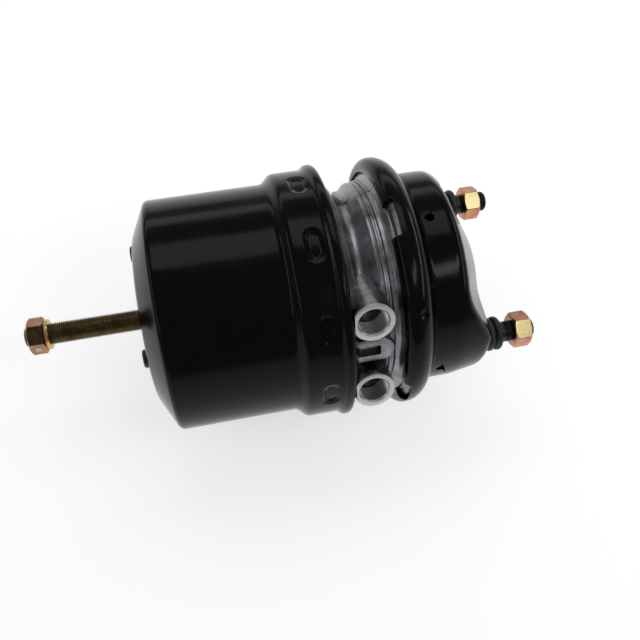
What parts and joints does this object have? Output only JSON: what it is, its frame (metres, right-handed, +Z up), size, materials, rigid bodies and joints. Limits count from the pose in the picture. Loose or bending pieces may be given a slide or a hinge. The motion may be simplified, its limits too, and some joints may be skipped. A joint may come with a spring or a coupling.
{
  "type": "air brake chamber",
  "caption": "Spring brake actuator: black pressed steel spring and service housings clamped on a die-cast aluminium centre flange with air ports, mounting studs and a caging bolt.",
  "frame": {"origin": "centre of the mounting face, in the plane the studs stand on", "axes": "+X out of the mounting face along the push rod's travel, +Y through the stud that carries the outer nut closer to the face, +Z up at right angles to the stud line"},
  "size_m": [0.3743, 0.197, 0.1932],
  "materials": {
    "black_enamel": "glossy black coating on pressed steel",
    "cast_aluminium": "die-cast, as cast with machined port faces",
    "yellow_zinc": "iridescent yellow zinc plating",
    "zinc_steel": "zinc plated",
    "olive_zinc": "olive-bronze passivated thread",
    "black_rubber": "moulded rubber",
    "black_plastic": "moulded, satin",
    "guide_plastic": "moulded acetal",
    "spring_coating": "dark coated spring wire",
    "bare_steel": "turned and pressed steel, lightly oiled",
    "bronze": "sintered bronze"
  },
  "bodies": {
    "housing": {"service_housing": "black_enamel", "stud_plate": "bare_steel", "mounting_studs": "zinc_steel", "mounting_nuts": "yellow_zinc", "stud_sleeves": "black_rubber", "centre_flange": "cast_aluminium", "flange_seal_ring": "black_rubber", "tube_guide_bush": "guide_plastic", "tube_seals": "black_rubber", "spring_housing": "black_enamel", "breather_plugs": "black_plastic", "bolt_bush": "bare_steel", "spring_seat": "black_plastic", "power_spring": "spring_coating", "diaphragm": "black_rubber", "return_spring": "spring_coating", "push_rod_boot": "black_rubber", "rod_guide_disc": "guide_plastic"},
    "parking_piston": {"parking_piston": "cast_aluminium", "piston_guide_ring": "guide_plastic", "piston_seal": "black_rubber", "push_tube": "bare_steel", "tube_cap": "bare_steel", "thrust_washer": "bronze"},
    "release_bolt": {"release_bolt": "olive_zinc", "release_nut": "olive_zinc", "release_nut_pin": "zinc_steel", "release_washer": "yellow_zinc"},
    "push_rod": {"push_plate": "bare_steel", "push_rod": "bare_steel"}
  },
  "joints": [
    {"name": "parking_stroke", "type": "slide", "parent": "housing", "child": "parking_piston", "axis": [1, 0, 0], "range_m": [0, 0.03], "deforming": ["power_spring"]},
    {"name": "release_turn", "type": "hinge", "parent": "parking_piston", "child": "release_bolt", "pos_m": [-0.3, 0, 0], "axis": [1, 0, 0], "range_deg": [0, 7200]},
    {"name": "service_stroke", "type": "slide", "parent": "parking_piston", "child": "push_rod", "axis": [1, 0, 0], "range_m": [0, 0.03], "stiffness_N_per_m": 1500, "springref_m": -0.04, "deforming": ["return_spring", "diaphragm", "push_rod_boot"]}
  ],
  "couplings": [
    {"joint": "release_turn", "follows": "parking_stroke", "rad_per_m": 4188.8}
  ]
}
